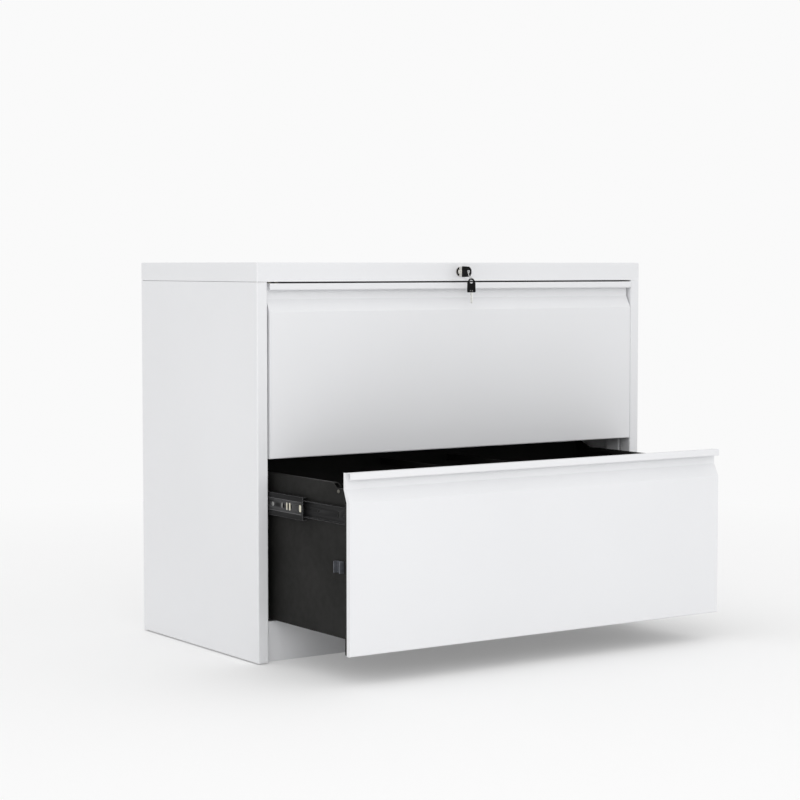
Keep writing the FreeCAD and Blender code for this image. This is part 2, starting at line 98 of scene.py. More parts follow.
class CabinetKeys(bpy.types.PropertyGroup):
    """Sizes of the moulded bows and of the spare key"""
    bow_thickness: FloatProperty(
        name="Bow thickness", description="Thickness of both bows", unit="LENGTH", default=0.0024)
    bow_hole: FloatProperty(
        name="Bow hole", description="Radius of the hole for the ring", unit="LENGTH", default=0.0034)
    bow_rim: FloatProperty(
        name="Bow rim", description="Width of the raised rim round each bow", unit="LENGTH", default=0.0019)
    bow_shoulder: FloatProperty(
        name="Bow shoulder", description="Length over which each bow narrows to its tip",
        unit="LENGTH", default=0.0062)
    bow_tip: FloatProperty(
        name="Bow tip", description="Width of a bow's tip as a share of its width",
        subtype="FACTOR", min=0.2, max=1, default=0.42)
    spare_width: FloatProperty(
        name="Spare bow width", description="Width of the spare key's bow", unit="LENGTH", default=0.0165)
    spare_height: FloatProperty(
        name="Spare bow height", description="Height of the spare key's bow", unit="LENGTH", default=0.0268)
    bow_edge: FloatProperty(
        name="Bow hole place",
        description="From the outer end of the bow in the lock to the middle of its hole",
        unit="LENGTH", default=0.0065)
    spare_edge: FloatProperty(
        name="Spare bow edge", description="Width of the spare bow above its hole",
        unit="LENGTH", default=0.0028)
    ring_wire: FloatProperty(
        name="Ring wire", description="Radius of the ring's wire", unit="LENGTH", default=0.0006)
    ring_play: FloatProperty(
        name="Ring play", description="Gap between the ring's wire and the hole that hangs on it",
        unit="LENGTH", default=0.0002)
    spare_blade: FloatProperty(
        name="Spare blade", description="Length of the spare key's blade", unit="LENGTH", default=0.021)
    blade_root: FloatProperty(
        name="Blade root", description="Length of the blade that the bow covers",
        unit="LENGTH", default=0.004)
    blade_width: FloatProperty(
        name="Blade width", description="Width of the spare key's blade", unit="LENGTH", default=0.0048)
    blade_thickness: FloatProperty(
        name="Blade thickness", description="Thickness of the spare key's blade",
        unit="LENGTH", default=0.0018)
    spare_turn: FloatProperty(
        name="Spare key turn",
        description="How far the spare key is turned on its ring, away from facing sideways",
        subtype="ANGLE", default=math.radians(45))


class CabinetSlides(bpy.types.PropertyGroup):
    """Relief of the telescopic slides"""
    rail: FloatProperty(
        name="Rail height", description="Height of the rail along the top and the bottom of a middle member",
        unit="LENGTH", default=0.0095)
    sunk: FloatProperty(
        name="Web depth", description="How deep the web of a middle member lies below its rails",
        unit="LENGTH", default=0.0008)
    stop_thickness: FloatProperty(
        name="Stop thickness", description="Thickness of the plated stops on the web",
        unit="LENGTH", default=0.0006)


class CabinetStudio(bpy.types.PropertyGroup):
    """Camera, floor and light"""
    camera_place: FloatVectorProperty(
        name="Camera place", description="Where the camera stands", subtype="TRANSLATION",
        unit="LENGTH", size=3, default=(-2.3711, -3.5, 0.725))
    camera_yaw: FloatProperty(
        name="Camera yaw", description="How far the camera turns to the right",
        subtype="ANGLE", default=math.radians(34.278))
    camera_pitch: FloatProperty(
        name="Camera pitch", description="How far the camera looks up",
        subtype="ANGLE", default=math.radians(-3.664))
    camera_lens: FloatProperty(
        name="Lens", description="Focal length in millimetres on a 36 mm sensor", default=94.773)
    floor_tone: FloatVectorProperty(
        name="Floor", description="Colour of the floor near the cabinet",
        subtype="COLOR", size=3, min=0, max=1, default=(0.95, 0.95, 0.95))
    backdrop_tone: FloatProperty(
        name="Background", description="Brightness of the background", min=0, max=1, default=0.955)
    sky_strength: FloatProperty(
        name="Sky light", description="Strength of the even light from all round", min=0, default=0.90)
    key_power: FloatProperty(
        name="Key light", description="Power of the large lamp in front on the left", unit="POWER", default=7)
    top_power: FloatProperty(
        name="Top light", description="Power of the large lamp above", unit="POWER", default=4)
    fill_power: FloatProperty(
        name="Fill light", description="Power of the large lamp in front at eye height",
        unit="POWER", default=16)


def start_material(name, colour, rough, metallic=0.0):
    """A new material with one principled shader."""
    material = bpy.data.materials.new(name)
    material.use_nodes = True
    shader = material.node_tree.nodes["Principled BSDF"]
    shader.inputs["Base Color"].default_value = (*colour, 1)
    shader.inputs["Roughness"].default_value = rough
    shader.inputs["Metallic"].default_value = metallic
    return material, material.node_tree, shader


def grain(tree, scale, detail=2.0, stretch=(1, 1, 1)):
    """Noise on the piece's own coordinates."""
    place = tree.nodes.new("ShaderNodeTexCoord")
    mapping = tree.nodes.new("ShaderNodeMapping")
    noise = tree.nodes.new("ShaderNodeTexNoise")
    mapping.inputs["Scale"].default_value = stretch
    noise.inputs["Scale"].default_value = scale
    noise.inputs["Detail"].default_value = detail
    tree.links.new(place.outputs["Object"], mapping.inputs["Vector"])
    tree.links.new(mapping.outputs["Vector"], noise.inputs["Vector"])
    return noise.outputs[0]


def between(tree, value, low=0.0, high=1.0, start=0.3, end=0.7):
    """A node's value from start to end, brought to the range from low to high."""
    ranger = tree.nodes.new("ShaderNodeMapRange")
    ranger.inputs["From Min"].default_value = start
    ranger.inputs["From Max"].default_value = end
    ranger.inputs["To Min"].default_value = low
    ranger.inputs["To Max"].default_value = high
    tree.links.new(value, ranger.inputs["Value"])
    return ranger.outputs["Result"]


def blended(tree, share, first, second):
    """Colour that goes from the first to the second, each a plain colour or another node's."""
    mix = tree.nodes.new("ShaderNodeMix")
    mix.data_type = "RGBA"
    tree.links.new(share, mix.inputs[0])
    for socket, colour in ((mix.inputs[6], first), (mix.inputs[7], second)):
        if isinstance(colour, bpy.types.NodeSocket):
            tree.links.new(colour, socket)
        else:
            socket.default_value = (*colour, 1)
    return mix.outputs[2]


def shade(colour, factor):
    """A lighter or darker copy of a colour."""
    return tuple(min(1.0, channel * factor) for channel in colour)


def mottled(tree, noise, colour, dark, pale):
    """A colour that a noise turns darker and paler by two factors."""
    return blended(tree, between(tree, noise), shade(colour, dark), shade(colour, pale))


def raised(tree, shader, height, strength, depth):
    """Bump from a noise."""
    bump = tree.nodes.new("ShaderNodeBump")
    bump.inputs["Strength"].default_value = strength
    bump.inputs["Distance"].default_value = depth
    tree.links.new(height, bump.inputs["Height"])
    tree.links.new(bump.outputs["Normal"], shader.inputs["Normal"])


# The edges that this finds get the painted highlights below.
def along_edges(tree, radius):
    """One along the edges of the sheet and zero on its flats."""
    rounded = tree.nodes.new("ShaderNodeBevel")
    rounded.samples = 6
    rounded.inputs["Radius"].default_value = radius
    flat = tree.nodes.new("ShaderNodeNewGeometry")
    dot = tree.nodes.new("ShaderNodeVectorMath")
    dot.operation = "DOT_PRODUCT"
    tree.links.new(rounded.outputs["Normal"], dot.inputs[0])
    tree.links.new(flat.outputs["Normal"], dot.inputs[1])
    return between(tree, dot.outputs["Value"], low=1.0, high=0.0, start=0.80, end=0.98)


def painted_edge_highlight(tree, body, colour, radius, pale):
    """A body's colour that turns paler along the edges: a painted highlight where they catch the light."""
    return blended(tree, along_edges(tree, radius), body, shade(colour, pale))


def combined(tree, operation, first, second):
    """Two node values brought together by one operation."""
    node = tree.nodes.new("ShaderNodeMath")
    node.operation = operation
    tree.links.new(first, node.inputs[0])
    tree.links.new(second, node.inputs[1])
    return node.outputs[0]


def mixed_surface(tree, share, first, second, output):
    """Send an output node the mix of two shaders."""
    mix = tree.nodes.new("ShaderNodeMixShader")
    tree.links.new(share, mix.inputs[0])
    tree.links.new(first.outputs[0], mix.inputs[1])
    tree.links.new(second.outputs[0], mix.inputs[2])
    tree.links.new(mix.outputs[0], tree.nodes[output].inputs["Surface"])


def white_coat(coats):
    """Fine powder coat: slight cloudiness, orange peel and a soft sheen."""
    colour = tuple(coats.white)
    material, tree, shader = start_material("white_powder_coat", colour, coats.white_rough)
    body = mottled(tree, grain(tree, scale=2.6), colour, dark=0.985, pale=1.012)
    tree.links.new(body, shader.inputs["Base Color"])
    gloss = between(tree, grain(tree, scale=55.0), coats.white_rough - 0.05, coats.white_rough + 0.06)
    tree.links.new(gloss, shader.inputs["Roughness"])
    shader.inputs["Specular IOR Level"].default_value = 0.42
    raised(tree, shader, grain(tree, scale=620.0, detail=3.0), strength=0.10, depth=0.0004)
    return material


def black_coat(coats):
    """Satin black powder coat with a painted highlight along the sheet's edges."""
    colour = tuple(coats.black)
    material, tree, shader = start_material("black_powder_coat", colour, coats.black_rough)
    body = mottled(tree, grain(tree, scale=9.0, detail=4.0), colour, dark=0.8, pale=1.25)
    # Painted highlight: the coat turns paler along the edges where they catch the light.
    tree.links.new(painted_edge_highlight(tree, body, colour, radius=0.0009, pale=3.5), shader.inputs["Base Color"])
    gloss = between(tree, grain(tree, scale=70.0), coats.black_rough - 0.07, coats.black_rough + 0.08)
    tree.links.new(gloss, shader.inputs["Roughness"])
    shader.inputs["Specular IOR Level"].default_value = 0.05
    raised(tree, shader, grain(tree, scale=900.0, detail=3.0), strength=0.16, depth=0.0003)
    return material


def catch_steel(coats):
    """Blued steel of the lock catches, with a painted highlight along its edges."""
    colour = tuple(coats.catch)
    material, tree, shader = start_material("blued_catch_steel", colour, rough=0.36)
    body = mottled(tree, grain(tree, scale=140.0, detail=4.0), colour, dark=0.75, pale=1.3)
    # Painted highlight: paler along the catch's edges.
    tree.links.new(painted_edge_highlight(tree, body, colour, radius=0.0010, pale=3.0), shader.inputs["Base Color"])
    gloss = between(tree, grain(tree, scale=300.0), low=0.28, high=0.46)
    tree.links.new(gloss, shader.inputs["Roughness"])
    raised(tree, shader, grain(tree, scale=1200.0, detail=3.0), strength=0.10, depth=0.0002)
    return material


def slide_coat(coats):
    """Thin black coating over rolled steel, with streaks along the run and a strong painted highlight along
    its edges.
    """
    colour = tuple(coats.slide)
    material, tree, shader = start_material("black_slide_steel", colour, rough=0.32)
    streaks = grain(tree, scale=160.0, detail=4.0, stretch=(1.0, 0.03, 1.0))
    body = mottled(tree, streaks, colour, dark=0.7, pale=1.9)
    # Strong painted highlight along the members' edges and round their windows.
    tree.links.new(painted_edge_highlight(tree, body, colour, radius=0.0013, pale=18.0), shader.inputs["Base Color"])
    tree.links.new(between(tree, streaks, low=0.24, high=0.40), shader.inputs["Roughness"])
    shader.inputs["Specular IOR Level"].default_value = 0.05
    raised(tree, shader, streaks, strength=0.08, depth=0.0002)
    return material


def drawn_steel(coats):
    """Bare drawn steel with fine lengthwise lines."""
    colour = tuple(coats.steel)
    material, tree, shader = start_material("bare_steel", colour, rough=0.30, metallic=1.0)
    lines = grain(tree, scale=900.0, detail=3.0, stretch=(1.0, 1.0, 0.08))
    body = mottled(tree, lines, colour, dark=0.85, pale=1.1)
    tree.links.new(body, shader.inputs["Base Color"])
    tree.links.new(between(tree, lines, low=0.22, high=0.38), shader.inputs["Roughness"])
    raised(tree, shader, lines, strength=0.06, depth=0.0001)
    return material


def zinc_plate(coats):
    """Dull zinc with pale and yellowish patches."""
    colour = tuple(coats.zinc)
    material, tree, shader = start_material("zinc_plate", colour, rough=0.40, metallic=1.0)
    patches = grain(tree, scale=260.0, detail=4.0)
    yellowish = (colour[0], colour[1] * 0.97, colour[2] * 0.86)
    body = blended(tree, between(tree, patches), yellowish, shade(colour, 1.12))
    tree.links.new(body, shader.inputs["Base Color"])
    tree.links.new(between(tree, patches, low=0.32, high=0.50), shader.inputs["Roughness"])
    raised(tree, shader, grain(tree, scale=1500.0, detail=2.0), strength=0.08, depth=0.0001)
    return material


def rivet_zinc(coats):
    """Zinc that has gone dull and dark on the rivet heads, with a painted highlight along their edges."""
    colour = shade(coats.zinc, 0.20)
    material, tree, shader = start_material("dull_rivet_zinc", colour, rough=0.50, metallic=1.0)
    patches = grain(tree, scale=700.0, detail=3.0)
    body = mottled(tree, patches, colour, dark=0.8, pale=1.25)
    # Painted highlight: paler along the rivet heads' edges.
    tree.links.new(painted_edge_highlight(tree, body, colour, radius=0.0004, pale=1.7), shader.inputs["Base Color"])
    tree.links.new(between(tree, patches, low=0.42, high=0.58), shader.inputs["Roughness"])
    raised(tree, shader, patches, strength=0.08, depth=0.0001)
    return material


def chrome_plate(coats):
    """Bright plating with faint turning marks round the lock."""
    colour = tuple(coats.chrome)
    material, tree, shader = start_material("lock_chrome", colour, rough=0.14, metallic=1.0)
    marks = grain(tree, scale=1400.0, detail=3.0, stretch=(1.0, 0.1, 1.0))
    body = mottled(tree, marks, colour, dark=0.92, pale=1.06)
    tree.links.new(body, shader.inputs["Base Color"])
    tree.links.new(between(tree, marks, low=0.10, high=0.22), shader.inputs["Roughness"])
    raised(tree, shader, marks, strength=0.04, depth=0.0001)
    return material


def key_plastic(coats):
    """Moulded black plastic with a fine spark grain and a painted highlight along its rims."""
    colour = tuple(coats.plastic)
    material, tree, shader = start_material("black_key_plastic", colour, rough=0.42)
    speck = grain(tree, scale=1800.0, detail=2.0)
    body = mottled(tree, speck, colour, dark=0.75, pale=1.5)
    # Painted highlight: paler along the bow's rims.
    tree.links.new(painted_edge_highlight(tree, body, colour, radius=0.0005, pale=4.0), shader.inputs["Base Color"])
    tree.links.new(between(tree, speck, low=0.34, high=0.52), shader.inputs["Roughness"])
    shader.inputs["Specular IOR Level"].default_value = 0.06
    raised(tree, shader, speck, strength=0.25, depth=0.0002)
    return material


coat_makers = {
    "white_powder_coat": white_coat,
    "black_powder_coat": black_coat,
    "blued_catch_steel": catch_steel,
    "black_slide_steel": slide_coat,
    "bare_steel": drawn_steel,
    "zinc_plate": zinc_plate,
    "dull_rivet_zinc": rivet_zinc,
    "lock_chrome": chrome_plate,
    "black_key_plastic": key_plastic,
}


def finish_of(slot):
    """The material of a slot, made when it is first asked for."""
    found = bpy.data.materials.get(slot + "_finish")
    if found is None:
        found = coat_makers[slot](bpy.context.scene.cabinet_coats)
        found.name = slot + "_finish"
    return found


def paint_nodes(slot):
    """Give every CAD piece of one slot its finish."""
    for row in frame["record"]["subparts"]:
        if row["material_slot"] != slot:
            continue
        piece = frame["nodes"][row["node"]]
        if not piece.material_slots:
            piece.data.materials.append(None)
        for place in piece.material_slots:
            place.material = finish_of(slot)


def choose(piece, kind, test):
    """In edit mode, select the corners, edges or faces that pass a test and nothing else."""
    bpy.ops.mesh.select_mode(type=kind)
    bpy.ops.mesh.select_all(action="DESELECT")
    mesh = bmesh.from_edit_mesh(piece.data)
    for element in {"VERT": mesh.verts, "EDGE": mesh.edges, "FACE": mesh.faces}[kind]:
        element.select_set(test(element))
    mesh.select_flush_mode()
    bmesh.update_edit_mesh(piece.data)


def runs_across(edge, thickness):
    """Whether an edge runs through the thickness of a plate that lies across X."""
    return abs(edge.verts[0].co.x - edge.verts[1].co.x) > thickness / 2


def pick(*pieces):
    """Select these pieces alone and make the first one active."""
    bpy.ops.object.select_all(action="DESELECT")
    for piece in pieces:
        piece.select_set(True)
    bpy.context.view_layer.objects.active = pieces[0]


def apply_modifier(piece, kind, **settings):
    """Add one modifier and apply it."""
    pick(piece)
    modifier = piece.modifiers.new(kind.title(), kind)
    for name, value in settings.items():
        setattr(modifier, name, value)
    bpy.ops.object.modifier_apply(modifier=modifier.name)


def soften(piece, width, segments=2, sharp=50, smooth=35):
    """Round the edges above one angle and smooth the shading below another, both in degrees."""
    apply_modifier(
        piece, "BEVEL", width=width, segments=segments,
        limit_method="ANGLE", angle_limit=math.radians(sharp))
    bpy.ops.object.shade_smooth_by_angle(angle=math.radians(smooth))


def settle(piece, place, turn=(0, 0, 0)):
    """Move a piece to its place and put that place into its mesh."""
    pick(piece)
    piece.location = place
    piece.rotation_euler = turn
    bpy.ops.object.transform_apply(location=True, rotation=True, scale=True)


def merged_copy(node, name):
    """A copy of a CAD piece with its loose triangles merged."""
    piece = bpy.data.objects.new(name, frame["nodes"][node].data.copy())
    bpy.context.collection.objects.link(piece)
    pick(piece)
    bpy.ops.object.mode_set(mode="EDIT")
    bpy.ops.mesh.select_mode(type="VERT")
    bpy.ops.mesh.select_all(action="SELECT")
    bpy.ops.mesh.remove_doubles(threshold=0.00001)
    bpy.ops.mesh.dissolve_limited(angle_limit=math.radians(1))
    bpy.ops.object.mode_set(mode="OBJECT")
    return piece


def moved_copy(piece, name, shift):
    """A copy of a piece with its own mesh, moved by a shift."""
    copy = bpy.data.objects.new(name, piece.data.copy())
    bpy.context.collection.objects.link(copy)
    settle(copy, shift)
    return copy


def joined(pieces):
    """Several meshes as one."""
    pick(*pieces)
    if len(pieces) > 1:
        bpy.ops.object.join()
    return pieces[0]


def cut_away(piece, cutters):
    """Take the cutters' shapes out of a piece."""
    cutter = joined(cutters)
    apply_modifier(piece, "BOOLEAN", object=cutter, operation="DIFFERENCE", solver="EXACT")
    bpy.data.objects.remove(cutter)


# Steps in which corners are rounded, and how closely a face's normal follows an axis to count as facing it
corner_steps = 8
facing = 0.9


def rounded_block(size, corner, place):
    """Flat block across X with rounded corners."""
    bpy.ops.object.select_all(action="DESELECT")
    bpy.ops.mesh.primitive_cube_add(size=1)
    block = bpy.context.object
    block.scale = size
    bpy.ops.object.transform_apply(location=False, rotation=False, scale=True)
    bpy.ops.object.mode_set(mode="EDIT")
    choose(block, "EDGE", lambda edge: runs_across(edge, size[0]))
    bpy.ops.mesh.bevel(offset=corner, segments=corner_steps, affect="EDGES")
    bpy.ops.object.mode_set(mode="OBJECT")
    settle(block, place)
    return block


# Rounding of a window's corners, as a share of its shorter side
window_rounding = 0.46


def window_cutters(windows, thickness, place):
    """Cutters for a row of windows, each given by its place behind the front end, length and height."""
    return [
        rounded_block(
            (thickness, length, height), window_rounding * min(length, height),
            (place[0], place[1] + back, place[2]))
        for back, length, height in windows
    ]


# Windows and stops of the slide members: place behind the front end, length and height
middle_windows = (
    (0.049, 0.022, 0.011), (0.070, 0.010, 0.011), (0.104, 0.008, 0.008), (0.165, 0.022, 0.010),
    (0.225, 0.008, 0.008), (0.285, 0.022, 0.010), (0.345, 0.008, 0.008),
)
middle_stops = ((0.009, 0.007, 0.013), (0.0445, 0.005, 0.0135), (0.0545, 0.004, 0.0135))
inner_windows = (
    (0.014, 0.004, 0.004), (0.031, 0.005, 0.011), (0.096, 0.0055, 0.0055), (0.150, 0.014, 0.005),
    (0.210, 0.0055, 0.0055), (0.270, 0.014, 0.005), (0.330, 0.0055, 0.0055),
)
# Both plain ends of a middle member together, and the corners of its sunk web
web_ends = 0.008
web_corner = 0.002
# Thickness of the cutters for the windows of the middle and the inner members
middle_cutter = 0.006
inner_cutter = 0.003
# Rounding along the edges of the members and of the stops
member_edge = 0.0003
stop_edge = 0.00015


def middle_member(side):
    """The lower drawer's middle slide member on one side, and the plated stops on its web."""
    slides = bpy.context.scene.cabinet_slides
    node = "lower_slide_middle_" + side
    low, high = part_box(node)
    outside = low.x if side == "left" else high.x
    inward = 1 if side == "left" else -1
    middle_y = (low.y + high.y) / 2
    middle_z = (low.z + high.z) / 2
    member = merged_copy(node, node + "_member")
    hollow = (2 * slides.sunk, high.y - low.y - web_ends, high.z - low.z - 2 * slides.rail)
    cut_away(member, [rounded_block(hollow, web_corner, (outside, middle_y, middle_z))])
    cut_away(member, window_cutters(middle_windows, middle_cutter, (outside, low.y, middle_z)))
    soften(member, member_edge)
    stop_x = outside + inward * (slides.sunk - slides.stop_thickness / 2)
    stops = joined(window_cutters(middle_stops, slides.stop_thickness, (stop_x, low.y, middle_z)))
    stops.name = "lower_slide_stops_" + side
    soften(stops, stop_edge)
    return member, stops


def inner_member(side):
    """The lower drawer's inner slide member on one side, with the holes and slots in its web."""
    node = "lower_slide_inner_" + side
    low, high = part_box(node)
    web = high.x if side == "left" else low.x
    member = merged_copy(node, node + "_member")
    cut_away(member, window_cutters(inner_windows, inner_cutter, (web, low.y, (low.z + high.z) / 2)))
    soften(member, member_edge)
    return member


def dress(piece, slot, body):
    """Give a new piece its finish, its slot and the body that it moves with."""
    piece.data.materials.clear()
    piece.data.materials.append(finish_of(slot))
    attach(piece, body)


# Width of a bow's foot against its shoulder, its rounded corners and edges, and the step down to its panels
bow_foot = 1.09
bow_corner = 0.0022
bow_round = 0.00035
panel_step = 0.0003
# Length of the cutter for a bow's hole
hole_cutter = 0.02


def moulded_bow(name, width, height, hole_drop):
    """Flat bow across X with a narrow tip on top, a sunk panel on each face and a hole for the ring."""
    keys = bpy.context.scene.cabinet_keys
    bpy.ops.object.select_all(action="DESELECT")
    bpy.ops.mesh.primitive_cube_add(size=1)
    bow = bpy.context.object
    bow.name = name
    bow.scale = (keys.bow_thickness, width / bow_foot, height - keys.bow_shoulder)
    bpy.ops.object.transform_apply(location=False, rotation=False, scale=True)
    bpy.ops.object.mode_set(mode="EDIT")
    choose(bow, "FACE", lambda face: face.normal.z < -facing)
    bpy.ops.transform.resize(value=(1, bow_foot, 1))
    choose(bow, "FACE", lambda face: face.normal.z > facing)
    bpy.ops.mesh.extrude_region_move(TRANSFORM_OT_translate={"value": (0, 0, keys.bow_shoulder)})
    bpy.ops.transform.resize(value=(1, keys.bow_tip, 1))
    bpy.ops.mesh.select_all(action="SELECT")
    bpy.ops.mesh.dissolve_limited(angle_limit=math.radians(2))
    choose(bow, "EDGE", lambda edge: runs_across(edge, keys.bow_thickness))
    bpy.ops.mesh.bevel(offset=bow_corner, segments=corner_steps, affect="EDGES")
    choose(bow, "FACE", lambda face: abs(face.normal.x) > facing)
    bpy.ops.mesh.inset(thickness=keys.bow_rim, depth=0)
    bpy.ops.mesh.inset(thickness=panel_step, depth=-panel_step)
    bpy.ops.object.mode_set(mode="OBJECT")
    settle(bow, (0, 0, -keys.bow_shoulder / 2))
    bpy.ops.object.select_all(action="DESELECT")
    bpy.ops.mesh.primitive_cylinder_add(
        vertices=48, radius=keys.bow_hole, depth=hole_cutter,
        location=(0, 0, height / 2 - hole_drop), rotation=(0, math.pi / 2, 0))
    cut_away(bow, [bpy.context.object])
    soften(bow, bow_round, segments=3, sharp=40)
    return bow


# Depths of the cuts at even steps down a blade, and the width of the blade that they are drawn for
blade_cuts = (
    0, 0, 0.0008, 0.0016, 0.0016, 0.0006, 0.0012, 0.0022, 0.0022, 0.0009, 0.0014, 0.0014, 0.0004, 0.0018,
    0.0018, 0.0009, 0.0020,
)
cuts_width = 0.007
# Width of a blade's tip as a share, how near its edge a corner counts as on it, and its rounded edges
blade_tip = 0.4
edge_reach = 0.0001
blade_round = 0.0001
# The groove takes the faces within this part of the width from the middle, and has this edge and depth
groove_part = 7
groove_edge = 0.0002
groove_depth = 0.0003


def cut_blade(name, length, width, thickness):
    """Blade that hangs down from the origin, with cuts along one edge and a groove along each side."""
    rows = len(blade_cuts) - 1
    row_reach = length / rows / 4
    bpy.ops.object.select_all(action="DESELECT")
    bpy.ops.mesh.primitive_grid_add(x_subdivisions=3, y_subdivisions=rows, size=1)
    blade = bpy.context.object
    blade.name = name
    blade.scale = (width, length, 1)
    bpy.ops.object.transform_apply(location=False, rotation=False, scale=True)
    bpy.ops.object.mode_set(mode="EDIT")
    for row, depth in enumerate(blade_cuts):
        level = length / 2 - row * length / rows
        choose(blade, "VERT", lambda corner: (
            abs(corner.co.y - level) < row_reach and corner.co.x > width / 2 - edge_reach))
        bpy.ops.transform.translate(value=(-depth * width / cuts_width, 0, 0))
    choose(blade, "VERT", lambda corner: corner.co.y < row_reach - length / 2)
    bpy.ops.transform.resize(value=(blade_tip, 1, 1))
    bpy.ops.object.mode_set(mode="OBJECT")
    apply_modifier(blade, "SOLIDIFY", thickness=thickness, offset=0)
    bpy.ops.object.mode_set(mode="EDIT")
    choose(blade, "FACE", lambda face: (
        abs(face.normal.z) > facing and abs(face.calc_center_median().x) < width / groove_part))
    bpy.ops.mesh.inset(thickness=groove_edge, depth=-groove_depth)
    bpy.ops.object.mode_set(mode="OBJECT")
    soften(blade, blade_round, sharp=40, smooth=30)
    settle(blade, (0, 0, 0), (math.pi / 2, 0, math.pi / 2))
    settle(blade, (0, 0, -length / 2))
    return blade


class CABINET_OT_carcass(bpy.types.Operator):
    """Give the carcass sheets and the drawer fronts their white powder coat"""
    bl_idname = "cabinet.carcass"
    bl_label = "Carcass and fronts"

    def execute(self, context):
        paint_nodes("white_powder_coat")
        return {"FINISHED"}


class CABINET_OT_drawer_boxes(bpy.types.Operator):
    """Give the drawer boxes, liners and rails their black powder coat, and blue the lock catches"""
    bl_idname = "cabinet.drawer_boxes"
    bl_label = "Drawer boxes"

    def execute(self, context):
        paint_nodes("black_powder_coat")
        paint_nodes("blued_catch_steel")
        return {"FINISHED"}


class CABINET_OT_slides(bpy.types.Operator):
    """Model the relief of the telescopic slides and give them and their ball cages their finishes"""
    bl_idname = "cabinet.slides"
    bl_label = "Slides"

    def execute(self, context):
        paint_nodes("black_slide_steel")
        paint_nodes("bare_steel")
        for side in ("left", "right"):
            middle, stops = middle_member(side)
            inner = inner_member(side)
            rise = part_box("upper_slide_middle_" + side)[0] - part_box("lower_slide_middle_" + side)[0]
            inner_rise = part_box("upper_slide_inner_" + side)[0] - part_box("lower_slide_inner_" + side)[0]
            rows = (
                ("lower", middle, stops, inner),
                ("upper", moved_copy(middle, "upper_slide_middle_" + side + "_member", rise),
                 moved_copy(stops, "upper_slide_stops_" + side, rise),
                 moved_copy(inner, "upper_slide_inner_" + side + "_member", inner_rise)),
            )
            for drawer, middle, stops, inner in rows:
                dress(middle, "black_slide_steel", drawer + "_slide_middle")
                dress(stops, "zinc_plate", drawer + "_slide_middle")
                dress(inner, "black_slide_steel", drawer + "_drawer")
                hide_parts(drawer + "_slide_middle_" + side)
                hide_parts(drawer + "_slide_inner_" + side)
        return {"FINISHED"}


class CABINET_OT_lock_works(bpy.types.Operator):
    """Give the lock, its bars and the rivets their platings"""
    bl_idname = "cabinet.lock_works"
    bl_label = "Lock and rivets"

    def execute(self, context):
        paint_nodes("lock_chrome")
        paint_nodes("zinc_plate")
        paint_nodes("black_key_plastic")
        paint_nodes("dull_rivet_zinc")
        return {"FINISHED"}


class CABINET_OT_lock_key(bpy.types.Operator):
    """Model the moulded bow of the key in the lock"""
    bl_idname = "cabinet.lock_key"
    bl_label = "Key in the lock"

    def execute(self, context):
        size = bow_high - bow_low
        bow = moulded_bow("lock_key_bow", size.z, size.y, context.scene.cabinet_keys.bow_edge)
        settle(bow, bow_middle, (math.pi / 2, 0, 0))
        dress(bow, "black_key_plastic", "lock")
        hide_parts("key_bow")
        return {"FINISHED"}


class CABINET_OT_spare_key(bpy.types.Operator):
    """Model the spare key that hangs on the ring"""
    bl_idname = "cabinet.spare_key"
    bl_label = "Spare key"

    def execute(self, context):
        keys = context.scene.cabinet_keys
        ring = frame["nodes"]["key_ring"].data
        foot = min((corner.co for corner in ring.vertices), key=lambda spot: spot.z)
        hole_z = foot.z + 2 * keys.ring_wire + keys.ring_play - keys.bow_hole
        top = hole_z + keys.bow_hole + keys.spare_edge
        turn = (0, 0, keys.spare_turn)
        bow = moulded_bow(
            "spare_key_bow", keys.spare_width, keys.spare_height, keys.bow_hole + keys.spare_edge)
        settle(bow, (foot.x, foot.y, top - keys.spare_height / 2), turn)
        dress(bow, "black_key_plastic", "cabinet")
        blade = cut_blade(
            "spare_key_blade", keys.spare_blade + keys.blade_root, keys.blade_width, keys.blade_thickness)
        settle(blade, (foot.x, foot.y, top - keys.spare_height + keys.blade_root), turn)
        dress(blade, "bare_steel", "cabinet")
        return {"FINISHED"}


# Radius of the floor, and how far it lies under the cabinet so that the two don't share a face
floor_radius = 12
floor_drop = 0.0005
# The floor's share of background near the cabinet, and where the floor starts and ends to run out into it
near_glow = 0.25
fade_start = 0.8
fade_end = 2.4


def floor_finish(studio):
    """Pale floor that runs out into the background some way from the cabinet."""
    tone = tuple(studio.floor_tone)
    material, tree, shader = start_material("pale_floor", tone, rough=0.75)
    body = mottled(tree, grain(tree, scale=1.5), tone, dark=0.997, pale=1.003)
    tree.links.new(body, shader.inputs["Base Color"])
    shader.inputs["Specular IOR Level"].default_value = 0.2
    glow = tree.nodes.new("ShaderNodeEmission")
    glow.inputs["Color"].default_value = (studio.backdrop_tone,) * 3 + (1,)
    place = tree.nodes.new("ShaderNodeTexCoord")
    length = tree.nodes.new("ShaderNodeVectorMath")
    length.operation = "LENGTH"
    tree.links.new(place.outputs["Object"], length.inputs[0])
    far = between(tree, length.outputs["Value"], low=near_glow, start=fade_start, end=fade_end)
    rays = tree.nodes.new("ShaderNodeLightPath")
    seen = combined(tree, "MAXIMUM", rays.outputs["Is Camera Ray"], rays.outputs["Is Glossy Ray"])
    mixed_surface(tree, combined(tree, "MULTIPLY", far, seen), shader, glow, "Material Output")
    return material


